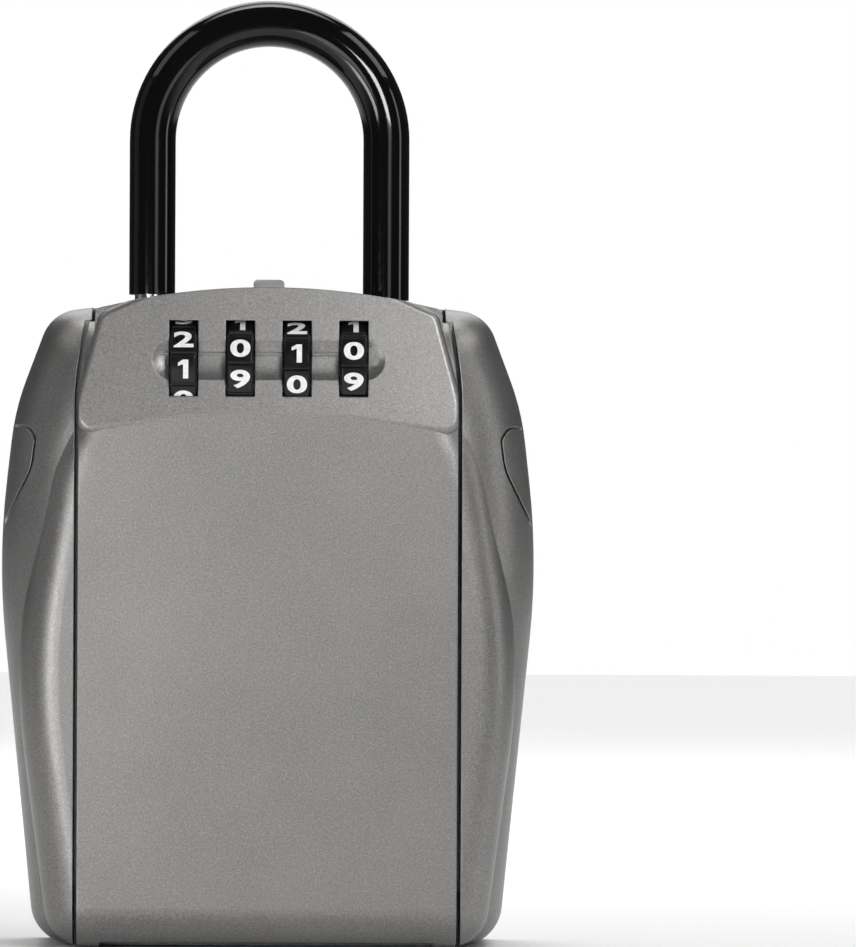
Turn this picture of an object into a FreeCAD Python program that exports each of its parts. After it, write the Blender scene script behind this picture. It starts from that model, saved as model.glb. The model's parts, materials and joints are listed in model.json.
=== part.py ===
"""Portable key lock box: a cast box with four dials, a drop-down door and a lifting shackle.

Frame: +X to the right of someone facing the door, the door faces -Y, +Z up.
The origin is on the floor plane, under the middle of the box. Millimetres.
"""
import FreeCAD, Part
import Sketcher
import math
import os
import re

V = FreeCAD.Vector
doc = FreeCAD.newDocument("key_lock_box")

# ---------------------------------------------------------------- driving dimensions
DIMENSIONS = [
    ("back_y", 24.0, "back face of the box"),
    ("front_y", -20.0, "front face of the door"),
    ("seat_y", -11.0, "face the door's edges close against"),
    ("block_seat_y", 6.0, "face behind the door's lock block"),
    ("wall_inner_y", 21.0, "inner face of the back wall"),
    ("sill_front_y", -6.2, "front of the sill behind the hinge"),
    ("sill_back_y", -2.5, "back of the sill"),
    ("cavity_half", 31.8, "half width of the key cavity"),
    ("cavity_floor", 4.0, "floor of the key cavity"),
    ("sill_top", 11.0, "top of the sill"),
    ("recess_half", 38.4, "half width of the door recess"),
    ("block_recess_half", 35.2, "half width of the recess for the lock block"),
    ("block_low", 102.4, "underside of the door's lock block"),
    ("shackle_half", 23.6, "half the distance between the shackle legs"),
    ("shackle_y", 14.0, "shackle plane"),
    ("leg_radius", 3.5, "steel leg"),
    ("leg_hole_radius", 3.56, "guide hole of a leg"),
    ("sleeve_radius", 4.65, "vinyl sleeve"),
    ("arch_centre", 161.4, "height of the arch's centre"),
    ("long_leg_end", 68.5, "lower end of the long leg"),
    ("short_leg_end", 110.6, "lower end of the short leg"),
    ("screw_x", 39.0, "wall screws, spacing across"),
    ("screw_z", 64.0, "wall screws, spacing up"),
    ("screw_low", 38.0, "height of the lower wall screws"),
    ("screw_hole_radius", 3.1, "wall screw hole"),
    ("door_half", 37.6, "half width of the door"),
    ("skin_back_y", -17.0, "inner face of the door's skin"),
    ("door_edge_y", -11.6, "back of the door's edges"),
    ("block_half", 34.5, "half width of the lock block"),
    ("block_back_y", 5.6, "back of the lock block"),
    ("panel_tilt", 6.0, "lean of the dial panel, degrees"),
    ("panel_low", 105.9, "height where the panel leaves the door's face"),
    ("dial_pitch", 11.23, "distance between dials"),
    ("dial_radius", 10.0, "dial"),
    ("dial_width", 5.35, "dial"),
    ("dial_y", -11.2, "dial axis"),
    ("dial_z", 115.2, "dial axis"),
    ("slot_width", 5.8, "window of a dial"),
    ("slot_radius", 10.2, "clearance round a dial"),
    ("window_high", 124.5, "top of a dial's window"),
    ("axle_radius", 2.0, "dial axle"),
    ("axle_bore", 2.05, "bore that turns on the axle"),
    ("hinge_y", -12.5, "door hinge axis"),
    ("hinge_z", 5.0, "door hinge axis"),
    ("knuckle_radius", 3.2, "hinge knuckle"),
    ("pin_radius", 1.5, "hinge pin"),
    ("knuckle_bore", 1.55, "bore that turns on the hinge pin"),
    ("header_low", 108.9, "lower edge of the header plate"),
    ("header_front_y", 6.2, "front of the header plate"),
    ("header_back_y", 8.0, "back of the header plate"),
    ("slide_low", 113.6, "underside of the shackle slide"),
    ("slide_high", 116.2, "top of the shackle slide"),
    ("button_travel", 1.8, "travel of the release button"),
]

sheet = doc.addObject("Spreadsheet::Sheet", "Dimensions")
for line_number, (alias, value, note) in enumerate(DIMENSIONS, start=1):
    sheet.set("A%d" % line_number, alias)
    sheet.set("B%d" % line_number, str(value))
    sheet.setAlias("B%d" % line_number, alias)
    sheet.set("C%d" % line_number, note)
doc.recompute()

ALIASES = {alias for alias, _, _ in DIMENSIONS}


def size(alias):
    """The value of one cell."""
    return float(getattr(sheet, alias))


def bound(text):
    """The expression with each alias pointing at its cell."""
    def point(match):
        word = match.group(0)
        return "Dimensions." + word if word in ALIASES else word
    return re.sub(r"[a-z_]+", point, str(text))


# ---------------------------------------------------------------- sketches and features
PLANES = {"x": "YZ_Plane", "y": "XZ_Plane", "z": "XY_Plane"}
ORIGIN = -1          # the sketch's own origin


def new_body(name):
    """An empty body, which is one sub-part."""
    body = doc.addObject("PartDesign::Body", name)
    body.Label = name
    return body


def new_sketch(body, name, axis, at):
    """A sketch across one axis at a height given as an expression. Its own x and y are the other two axes."""
    sketch = body.newObject("Sketcher::SketchObject", name)
    role = PLANES[axis]
    plane = [feature for feature in body.Origin.OriginFeatures if feature.Role == role][0]
    sketch.AttachmentSupport = [(plane, "")]
    sketch.MapMode = "FlatFace"
    height = "-(%s)" % at if axis == "y" else str(at)
    sketch.setExpression("AttachmentOffset.Base.z", bound(height))
    return sketch


def rectangle(low_u, high_u, low_v, high_v):
    """Draws a rectangle between four expressions."""
    def draw(sketch):
        corners = [V(0, 0, 0), V(1, 0, 0), V(1, 1, 0), V(0, 1, 0)]
        first = sketch.GeometryCount
        for start, end in zip(corners, corners[1:] + corners[:1]):
            sketch.addGeometry(Part.LineSegment(start, end), False)
        for side in range(4):
            following = first + (side + 1) % 4
            sketch.addConstraint(Sketcher.Constraint("Coincident", first + side, 2, following, 1))
        for side, direction in enumerate(("Horizontal", "Vertical", "Horizontal", "Vertical")):
            sketch.addConstraint(Sketcher.Constraint(direction, first + side))
        pin_point(sketch, first, 1, low_u, low_v)
        pin_point(sketch, first + 1, 2, high_u, high_v)
    return draw


def pin_point(sketch, geometry, point, u, v):
    """Fixes one point of a sketch at two expressions."""
    for direction, place in (("DistanceX", u), ("DistanceY", v)):
        index = sketch.addConstraint(Sketcher.Constraint(direction, ORIGIN, 1, geometry, point, 1.0))
        sketch.setExpression("Constraints[%d]" % index, bound(place))


def disc(u, v, radius):
    """Draws a circle from three expressions."""
    def draw(sketch):
        index = sketch.addGeometry(Part.Circle(V(1, 1, 0), V(0, 0, 1), 1.0), False)
        pin_point(sketch, index, 3, u, v)
        rim = sketch.addConstraint(Sketcher.Constraint("Radius", index, 1.0))
        sketch.setExpression("Constraints[%d]" % rim, bound(radius))
    return draw


def rounded(corners):
    """Lines and arcs round a closed outline of (u, v, corner radius)."""
    edges = []
    starts, ends = [], []
    for index, (u, v, radius) in enumerate(corners):
        here = V(u, v, 0)
        into = (V(*corners[index - 1][:2], 0) - here).normalize()
        away = (V(*corners[(index + 1) % len(corners)][:2], 0) - here).normalize()
        half_angle = into.getAngle(away) / 2
        reach = radius / math.tan(half_angle)
        starts.append(here + into * reach)
        ends.append(here + away * reach)
        if radius > 0:
            inward = (into + away).normalize()
            middle = here + inward * (radius / math.sin(half_angle) - radius)
            edges.append(Part.Arc(starts[index], middle, ends[index]))
    for start, end in zip(ends, starts[1:] + starts[:1]):
        if start.distanceToPoint(end) > 1e-6:
            edges.append(Part.LineSegment(start, end))
    return edges


def mirrored(half):
    """A whole outline from its right half, listed from the bottom up."""
    return half + [(-u, v, radius) for u, v, radius in reversed(half)]


def outline(corners):
    """Draws a closed outline of lines and arcs."""
    def draw(sketch):
        for edge in rounded(corners):
            sketch.addGeometry(edge, False)
    return draw


def add(body, name, axis, low, high, *drawings):
    """Pads the drawings along an axis between two expressions."""
    start = high if axis == "y" else low
    return extrude(body, "PartDesign::Pad", name, axis, start, "(%s) - (%s)" % (high, low), drawings)


def cut(body, name, axis, low, high, *drawings):
    """Pockets the drawings along an axis between two expressions."""
    start = low if axis == "y" else high
    return extrude(body, "PartDesign::Pocket", name, axis, start, "(%s) - (%s)" % (high, low), drawings)


def extrude(body, kind, name, axis, start, length, drawings):
    """One pad or pocket from a sketch of its own."""
    sketch = new_sketch(body, name + "_sketch", axis, start)
    for draw in drawings:
        draw(sketch)
    feature = body.newObject(kind, name)
    feature.Profile = sketch
    feature.setExpression("Length", bound(length))
    doc.recompute()
    return feature


def edges_where(feature, test):
    """The names of a feature's edges whose midpoint and box pass a test."""
    names = []
    for index, edge in enumerate(feature.Shape.Edges, start=1):
        first, last = edge.ParameterRange
        if test(edge.valueAt((first + last) / 2), edge.BoundBox):
            names.append("Edge%d" % index)
    return names


def fillet(body, name, feature, radius, test):
    """Rounds the edges that pass a test."""
    rounding = body.newObject("PartDesign::Fillet", name)
    rounding.Base = (feature, edges_where(feature, test))
    rounding.Radius = radius
    doc.recompute()
    return rounding


def chamfer(body, name, feature, width, test):
    """Bevels the edges that pass a test."""
    bevel = body.newObject("PartDesign::Chamfer", name)
    bevel.Base = (feature, edges_where(feature, test))
    bevel.Size = width
    doc.recompute()
    return bevel


def join(body, name, other):
    """Fuses a helper body into this one."""
    joined = body.newObject("PartDesign::Boolean", name)
    joined.Type = "Fuse"
    joined.setObjects([other])
    doc.recompute()


def whole_but(shape, far=180.0):
    """Draws everything outside a shape, to trim a body to it."""
    frame = outline([(-far, -far, 0.0), (far, -far, 0.0), (far, far, 0.0), (-far, far, 0.0)])
    return frame, shape


# ---------------------------------------------------------------- the outer form shared by box and door
SIGN = {"left": -1, "right": 1}
HALF_HEIGHT = 64.6       # half the height of the shoulder's outline
HALF_WIDTH = 53.2        # half its greatest width
PILLOW_RADIUS = 16.0     # rounding of the shoulder's front
PILLOW_START_Y = -2.5    # where that rounding begins
PILLOW_ANGLES = (0, 15, 30, 45, 60, 75)   # where its sections lie along the rounding, degrees
SHIELD_RADIUS = 8.0      # rounding of the shield's front edge


def shoulder_outline(inset):
    """The box's silhouette, drawn in by a distance on every side."""
    half = [(46.3, 0.0, 8.5), (54.0, 77.0, 150.0), (50.6, 107.0, 50.0), (43.4, 126.2, 8.0), (0.0, 131.6, 0.0)]
    across = (HALF_WIDTH - inset) / HALF_WIDTH
    upright = (HALF_HEIGHT - inset) / HALF_HEIGHT
    scaled = [(u * across, HALF_HEIGHT + (v - HALF_HEIGHT) * upright, radius * across)
              for u, v, radius in half]
    return scaled[:-1] + [(0.0, scaled[-1][1], 200.0)] + [(-u, v, r) for u, v, r in reversed(scaled[:-1])]


def shield_outline():
    """The raised face that carries the door: widest at the middle, drawn in towards the top."""
    return mirrored([(43.2, 0.0, 8.5), (50.6, 56.0, 120.0), (43.6, 98.0, 40.0), (34.0, 117.0, 14.0),
                     (16.0, 123.0, 40.0)])


def outer_form(body):
    """The shield with its rounded front edge, and the pillowed shoulder behind it."""
    shield = add(body, body.Name + "_shield", "y", "front_y", 0.0, outline(shield_outline()))
    front = size("front_y")
    fillet(body, body.Name + "_shield_edge", shield, SHIELD_RADIUS,
           lambda middle, box: box.YMax < front + 0.1)
    add(body, body.Name + "_shoulder", "y", PILLOW_START_Y, "back_y", outline(shoulder_outline(0.0)))
    sections = []
    for step, angle in enumerate(PILLOW_ANGLES):
        inset = PILLOW_RADIUS * (1 - math.cos(math.radians(angle)))
        height = PILLOW_START_Y - PILLOW_RADIUS * math.sin(math.radians(angle))
        section = new_sketch(body, "%s_section_%d" % (body.Name, step), "y", height)
        outline(shoulder_outline(inset))(section)
        sections.append(section)
    pillow = body.newObject("PartDesign::AdditiveLoft", body.Name + "_pillow")
    pillow.Profile = sections[0]
    pillow.Sections = sections[1:]
    doc.recompute()


def recess_outline(gap, low, high):
    """The door's own outline, or with a gap the recess round it; the sides lean in at the top."""
    half = size("door_half") + gap
    return mirrored([(half, low, 0.0), (half, 112.0, 60.0), (half - 2.3, 128.0, 0.0), (half - 2.3, high, 0.0)])


# ---------------------------------------------------------------- the box
# cored pockets behind each flank: bottom, top, half width at the bottom and at the top
CORES = ((14.0, 44.0, 42.6, 46.4), (47.0, 78.0, 46.6, 49.0), (81.0, 108.0, 48.4, 46.2))
CORE_INNER = 35.0        # where the cores begin, from the middle
CORE_FLOOR_Y = -4.0
INSERT_FLOOR_Y = -6.0
CAVITY_TOP = 121.4       # top of the key cavity at its sides
BOLT_POCKET = (111.6, 116.4)
RIVET_X = 14.0
RIVET_Z = 115.2
SILL_SCREW_X = 15.2
SILL_SCREW_Z = 6.1
PIN_X = -12.9            # release pin
WIRE = 0.35              # radius of the door spring's wire
COIL = 2.2               # radius of its coils
COIL_STARTS = (-11.0, 5.1)
COIL_PITCH = 0.98
COIL_LENGTH = 5.88
SPRING_LEG_X = 5.3


def housing_shell():
    """The cast box: door recess, key cavity, shackle holes, wall screw holes and cored flanks."""
    body = new_body("housing_shell")
    outer_form(body)
    gap = size("recess_half") - size("door_half")
    cut(body, "door_recess", "y", "front_y - 5", "seat_y", outline(recess_outline(gap, -2.0, 150.0)))
    cut(body, "block_recess", "y", "seat_y - 1", "block_seat_y",
        rectangle("-block_recess_half", "block_recess_half", "block_low - 0.6", 150))
    cut(body, "hinge_recess", "y", "seat_y - 1", "sill_front_y",
        rectangle("-recess_half", "recess_half", -2, "sill_top + 0.2"))
    top_arc = mirrored([(size("cavity_half"), size("sill_top"), 1.5), (size("cavity_half"), CAVITY_TOP, 3.0),
                        (14.0, CAVITY_TOP + 3.0, 60.0)])
    cut(body, "key_cavity", "y", "seat_y - 1", "wall_inner_y", outline(top_arc))
    floor = mirrored([(size("cavity_half"), size("cavity_floor"), 1.5), (size("cavity_half"), 20.0, 0.0)])
    cut(body, "cavity_foot", "y", "sill_back_y", "wall_inner_y", outline(floor))
    legs = [disc(side + "shackle_half", "shackle_y", "leg_hole_radius") for side in ("-", "")]
    cut(body, "leg_holes", "z", 118, 140, *legs)
    screws = [disc("%sscrew_x / 2" % side, "screw_low + %s" % up, "screw_hole_radius")
              for side in ("-", "") for up in ("0", "screw_z")]
    cut(body, "wall_screw_holes", "y", "wall_inner_y - 1", "back_y + 1", *screws)
    for side, sign in SIGN.items():
        for level, (low, high, outer_low, outer_high) in enumerate(CORES):
            core = [(CORE_INNER, low), (outer_low, low), (outer_high, high), (CORE_INNER, high)]
            shape = outline([(sign * u, v, 2.0) for u, v in core])
            cut(body, "core_%s_%d" % (side, level), "y", CORE_FLOOR_Y, "back_y + 1", shape)
    cut(body, "sill_holes", "y", "sill_front_y - 1", "sill_back_y + 1", *sill_screws(1.05))
    bolts = rectangle("-block_recess_half - 2.8", "block_recess_half + 2.8", *BOLT_POCKET)
    cut(body, "bolt_pockets", "y", 1.5, 3.9, bolts)
    for side in ("left", "right"):
        cut(body, "insert_pocket_" + side, "y", -40, INSERT_FLOOR_Y, outline(insert_outline(side, 0.0)))
    return body


def insert_outline(side, gap):
    """The drop-shaped outline of a side insert, drawn in by a gap; its point is low and outside."""
    corners = [(46.0 + gap, 101.4 - gap, 1.8), (46.8 + gap, 95.0, 12.0), (52.6 + gap, 83.4 + gap, 0.3),
               (60.0, 83.4 + gap, 0.0), (60.0, 103.6 - gap, 0.0), (47.6 + gap, 103.6 - gap, 2.0)]
    return [(SIGN[side] * u, v, radius) for u, v, radius in corners]


def side_insert(side):
    """The drop-shaped inlay in a flank, flush with the shoulder."""
    body = new_body("side_insert_" + side)
    outer_form(body)
    cut(body, body.Name + "_trim", "y", -40, 40, *whole_but(outline(insert_outline(side, 0.4))))
    cut(body, body.Name + "_back", "y", INSERT_FLOOR_Y, 40, rectangle(-60, 60, -5, 160))
    return body


def header_plate():
    """The arched plate in front of the shackle's lock block."""
    body = new_body("header_plate")
    shape = mirrored([(31.0, size("header_low"), 0.6), (31.0, 120.2, 1.5), (14.0, 123.4, 60.0)])
    add(body, "header_pad", "y", "header_front_y", "header_back_y", outline(shape))
    cut(body, "header_holes", "y", "header_front_y", "header_back_y", *rivet_discs(1.5))
    cut(body, "header_sinks", "y", "header_front_y", "header_front_y + 0.7", *rivet_discs(2.02))
    return body


def rivet_discs(radius):
    """The two rivet positions of the header."""
    return [disc(side * RIVET_X, RIVET_Z, radius) for side in (-1, 1)]


def header_rivets():
    """Two flush rivets that hold the header plate to its block."""
    body = new_body("header_rivets")
    add(body, "rivet_shanks", "y", "header_front_y", "header_back_y + 0.8", *rivet_discs(1.45))
    add(body, "rivet_heads", "y", "header_front_y", "header_front_y + 0.7", *rivet_discs(2.0))
    return body


def shackle_block():
    """The block that guides both legs and holds the slide that locks them."""
    body = new_body("shackle_block")
    block = rectangle(-30.8, 30.8, "header_low + 0.3", 120.2)
    add(body, "block_pad", "y", "header_back_y", "wall_inner_y - 0.2", block)
    legs = [disc(side + "shackle_half", "shackle_y", "leg_hole_radius") for side in ("-", "")]
    cut(body, "block_legs", "z", 100, 130, *legs)
    cut(body, "rivet_holes", "y", "header_back_y", "header_back_y + 0.9", *rivet_discs(1.5))
    channel = rectangle(-18.9, 19.8, 9.2, 17.4)
    mouth = rectangle(19.5, "shackle_half", 11.0, 17.0)
    cut(body, "slide_channel", "z", "slide_low - 0.2", "slide_high + 0.2", channel)
    cut(body, "slide_mouth", "z", "slide_low - 0.2", "slide_high + 0.2", mouth)
    cut(body, "pin_slot", "z", 100, "slide_low", rectangle(-17.3, -11.4, 12.5, 15.5))
    add(body, "spring_post", "z", "slide_low - 0.3", "slide_high + 0.3", rectangle(-5.5, -4.0, 10.6, 13.4))
    return body


def shackle_slide():
    """The slide whose end holds the notch of the short leg."""
    body = new_body("shackle_slide")
    add(body, "slide_pad", "z", "slide_low", "slide_high", rectangle(-15.6, 19.2, 9.5, 17.1))
    add(body, "slide_tip", "z", "slide_low", "slide_high", rectangle(18.6, "shackle_half - 1.9", 11.3, 16.7))
    cut(body, "slide_window", "z", "slide_low - 1", "slide_high + 1", rectangle(-9.2, 6.0, 10.2, 13.8))
    return body


def release_pin():
    """The pin under the header that draws the shackle's slide back."""
    body = new_body("release_pin")
    pin = add(body, "pin_pad", "z", 101.0, "slide_low", disc(PIN_X, "shackle_y", 1.1))
    fillet(body, "pin_end", pin, 0.9, lambda middle, box: box.ZMax < 101.1)
    return body


def hinge_block():
    """The dark block on the sill: three knuckles with a window for each spring coil between them."""
    body = new_body("hinge_block")
    profile = [(size("hinge_y") - 3.2, 1.8, 2.0), (size("sill_front_y"), 3.0, 0.0),
               (size("sill_front_y"), 8.2, 0.0), (size("hinge_y") - 3.2, 8.2, 2.0)]
    add(body, "hinge_block_pad", "x", -19.0, 19.0, outline(profile))
    window = rectangle("hinge_y - 5", "hinge_y + 3.4", 0, 10)
    for side, sign in SIGN.items():
        cut(body, "spring_window_" + side, "x", *sorted((sign * 4.6, sign * 11.5)), window)
    cut(body, "hinge_block_bore", "x", -20, 20, disc("hinge_y", "hinge_z", "pin_radius"))
    cut(body, "hinge_block_threads", "y", "sill_front_y - 3", "sill_front_y", *sill_screws(1.0))
    return body


def sill_screws(radius):
    """The two screw positions in the sill."""
    return [disc(side * SILL_SCREW_X, SILL_SCREW_Z, radius) for side in (-1, 1)]


def hinge_screws():
    """The screws through the sill into the hinge block, heads in the cavity's foot."""
    body = new_body("hinge_screws")
    add(body, "screw_shanks", "y", "sill_front_y - 2.9", "sill_back_y + 0.1", *sill_screws(1.0))
    add(body, "screw_heads", "y", "sill_back_y", "sill_back_y + 1.4", *sill_screws(1.9))
    cut(body, "screw_sockets", "y", "sill_back_y + 0.5", "sill_back_y + 3", *sill_screws(0.8))
    return body


def hinge_pin():
    """The pin that the door turns on."""
    body = new_body("hinge_pin")
    pin = add(body, "hinge_pin_pad", "x", -32.8, 32.8, disc("hinge_y", "hinge_z", "pin_radius"))
    chamfer(body, "hinge_pin_ends", pin, 0.3, lambda middle, box: box.XLength < 0.1)
    return body


def door_spring():
    """The double torsion spring on the hinge pin: two coils joined by a bridge that pushes the door open."""
    axis_point = V(0, size("hinge_y"), size("hinge_z"))
    solids = []
    for low in COIL_STARTS:
        helix = Part.makeHelix(COIL_PITCH, COIL_LENGTH, COIL)
        section = Part.Wire([Part.makeCircle(WIRE, V(COIL, 0, 0), V(0, 1, 0))])
        coil = Part.Wire(helix.Edges).makePipeShell([section], True, True)
        coil.rotate(V(0, 0, 0), V(0, 1, 0), 90)
        coil.translate(axis_point + V(low, 0, 0))
        solids.append(coil)
    front = size("skin_back_y") + WIRE + 0.1
    bridge_z = size("hinge_z") + 7.5
    for sign in (-1, 1):
        foot = V(sign * SPRING_LEG_X, size("hinge_y") - COIL, size("hinge_z"))
        knee = V(sign * SPRING_LEG_X, front, bridge_z)
        solids.append(rod(foot, knee, WIRE))
    solids.append(rod(V(-SPRING_LEG_X, front, bridge_z), V(SPRING_LEG_X, front, bridge_z), WIRE))
    spring = doc.addObject("Part::Feature", "door_spring")
    spring.Label = "door_spring"
    spring.Shape = Part.makeCompound(solids[:2] + [solids[2].multiFuse(solids[3:])])
    return spring


def rod(start, end, radius):
    """A round bar between two points."""
    along = end - start
    return Part.makeCylinder(radius, along.Length, start, along)


def coil_spring(low, high, radius, wire_radius, turns, axis):
    """A compression spring from a point to another, ready to be squeezed."""
    length = (high - low).Length
    pitch = (length - 2 * wire_radius) / turns
    helix = Part.makeHelix(pitch, length - 2 * wire_radius, radius)
    section = Part.Wire([Part.makeCircle(wire_radius, V(radius, 0, 0), V(0, 1, 0))])
    coil = Part.Wire(helix.Edges).makePipeShell([section], True, True)
    coil.translate(V(0, 0, wire_radius))
    coil.Placement = FreeCAD.Placement(low, FreeCAD.Rotation(V(0, 0, 1), axis)).multiply(coil.Placement)
    return coil


def slide_spring():
    """The spring that keeps the shackle's slide in its notch."""
    spring = doc.addObject("Part::Feature", "slide_spring")
    spring.Label = "slide_spring"
    middle_z = (size("slide_low") + size("slide_high")) / 2
    low = V(-3.9, 12.0, middle_z)
    high = V(5.9, 12.0, middle_z)
    spring.Shape = coil_spring(low, high, 0.95, 0.2, 8, V(1, 0, 0))
    return spring


# ---------------------------------------------------------------- the shackle
SLEEVE_ENDS = (130.2, 129.2)      # lower ends of the sleeve, long leg and short leg
RING_SEAT = (71.6, 74.0)          # groove of the stop ring


def shackle_bar():
    """The steel bow: a long leg that stays in the box and a short one that comes out of it."""
    body = new_body("shackle_bar")
    leg = disc("-shackle_half", "shackle_y", "leg_radius")
    swept_bow(body, "bow", size("long_leg_end"), size("short_leg_end"), leg)
    groove = [disc("-shackle_half", "shackle_y", 6.0), disc("-shackle_half", "shackle_y", 2.7)]
    cut(body, "ring_groove", "z", *RING_SEAT, *groove)
    cut(body, "leg_tip", "z", "long_leg_end - 1", RING_SEAT[0], disc("-shackle_half", "shackle_y", 8.0),
        disc("-shackle_half", "shackle_y", 3.0))
    cut(body, "leg_notch", "z", "short_leg_end + 2.7", "short_leg_end + 5.9",
        rectangle("shackle_half - 5", "shackle_half - 1.5", "shackle_y - 5", "shackle_y + 5"))
    return body


def swept_bow(body, name, left_low, right_low, *drawings):
    """A section swept up the left leg, round the arch and down the right leg."""
    half = size("shackle_half")
    centre = size("arch_centre")
    path = new_sketch(body, name + "_path", "y", "shackle_y")
    path.addGeometry(Part.LineSegment(V(-half, left_low, 0), V(-half, centre, 0)), False)
    path.addGeometry(Part.Arc(V(-half, centre, 0), V(0, centre + half, 0), V(half, centre, 0)), False)
    path.addGeometry(Part.LineSegment(V(half, centre, 0), V(half, right_low, 0)), False)
    section = new_sketch(body, name + "_section", "z", left_low)
    for draw in drawings:
        draw(section)
    doc.recompute()
    pipe = body.newObject("PartDesign::AdditivePipe", name + "_pipe")
    pipe.Profile = section
    pipe.Spine = path
    doc.recompute()


def shackle_sleeve():
    """The vinyl sleeve over the bow, square cut at both ends."""
    body = new_body("shackle_sleeve")
    ring = [disc("-shackle_half", "shackle_y", radius) for radius in ("sleeve_radius", "leg_radius")]
    swept_bow(body, "sleeve", SLEEVE_ENDS[0], SLEEVE_ENDS[1], *ring)
    return body


def shackle_ring():
    """The ring that stops the long leg from being drawn right out."""
    body = new_body("shackle_ring")
    ring = [disc("-shackle_half", "shackle_y", radius) for radius in (4.5, 2.75)]
    add(body, "ring_pad", "z", RING_SEAT[0] + 0.4, RING_SEAT[1] - 0.4, *ring)
    cut(body, "ring_gap", "z", 71.0, 75.0,
        rectangle("-shackle_half - 1.2", "-shackle_half + 1.2", "shackle_y - 6", "shackle_y - 1"))
    return body


# ---------------------------------------------------------------- the door
DIAL_STEPS = (-1.5, -0.5, 0.5, 1.5)          # dial centres, in dial pitches
DIAL_TURNS = (-2.4, 22.3, 16.2, 19.6)        # height of a number on each dial, degrees above level
POST_X = 29.0
POST_LEVELS = (108.6, 121.0)
RIB_X = (-30.0, -10.0, 10.0, 30.0)
TOP_VERTEX = (0.0, 134.42, 140.0)            # tangents of the door's arched top meet here
CHANNEL_Z = 117.4
CHANNEL_RADIUS = 8.5
CHANNEL_DEPTH = 0.95
CHANNEL_HALF = 19.1                          # to the centre of each rounded end
INDEX_HALF = 22.2                            # index line, half its length
INDEX_LOW = 117.65
INDEX_WIDTH = 0.45
INDEX_SUNK = 0.45                            # how far the line lies behind the panel's face
LATCH_LEVEL = (112.0, 116.0)
LATCH_MIDDLE = 114.0
LEAF_SCREWS = (15.0, 21.0)
LEAF_SCREW_X = 27.0
CLIP_STARTS = {"left": -25.5, "right": 24.9}
SLOT_X = 20.0                                # slanted slots of the latch plate
SLOT_HALF = 1.3
PIN_RADIUS = 1.0                             # pins of the bolts in those slots
RIB_BACK_Y = -13.2
INNER_HALF = 32.6                            # inside of the door's edges
COMB_FRONT_Y = -0.95
COMB_BACK_Y = -0.65


def tilted_y(height):
    """Where the leaning panel lies at a height."""
    lean = math.tan(math.radians(size("panel_tilt")))
    return size("front_y") + (height - size("panel_low")) * lean


def panel_outline():
    """The dial panel: a low arch along its lower edge and rounded lower corners."""
    half = [(37.9, 101.5, 3.4), (38.4, 108.0, 15.0), (33.6, 125.9, 3.0), (14.0, 134.4, 5.0)]
    return [(0.0, size("panel_low") + 0.8, 140.0)] + half + [(-u, v, radius) for u, v, radius in reversed(half)]


def in_front_of_panel():
    """The space in front of the leaning panel, seen from the side."""
    low = size("panel_low") - 9.0
    return [(-60.0, low, 0.0), (tilted_y(low), low, 0.0), (tilted_y(150.0), 150.0, 0.0), (-60.0, 150.0, 0.0)]


def door_outline():
    """The door from the front: upright sides that lean in at the top, under a shallow arch."""
    half = size("door_half")
    right = [(half, -2.0, 0.0), (half, 112.0, 60.0), (half - 2.3, 126.7, 1.5)]
    return right + [TOP_VERTEX] + [(-u, v, radius) for u, v, radius in reversed(right)]


def block_outline():
    """The lock block from the front, under the door's arched top."""
    half = size("block_half")
    right = [(half, size("block_low"), 2.0), (half, 126.87, 1.5)]
    return right + [TOP_VERTEX] + [(-u, v, radius) for u, v, radius in reversed(right)]


def block_hollow(grow):
    """The hollow of the lock block, or the seat of its cover."""
    return mirrored([(31.6 + grow, 106.3 - 0.7 * grow, 1.5), (31.6 + grow, 122.6 + 0.5 * grow, 3.0),
                     (21.5 + 0.7 * grow, 127.9 + 0.5 * grow, 2.0)])


def dial_panel():
    """The leaning panel alone, with its rounded rim."""
    panel = new_body("dial_panel")
    add(panel, "panel_pad", "y", "front_y - 4", -9.0, outline(panel_outline()))
    leaning = cut(panel, "panel_lean", "x", -70, 70, outline(in_front_of_panel()))
    fillet(panel, "panel_rim", leaning, 1.3, lambda middle, box: abs(middle.y - tilted_y(middle.z)) < 0.02)
    return panel


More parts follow.
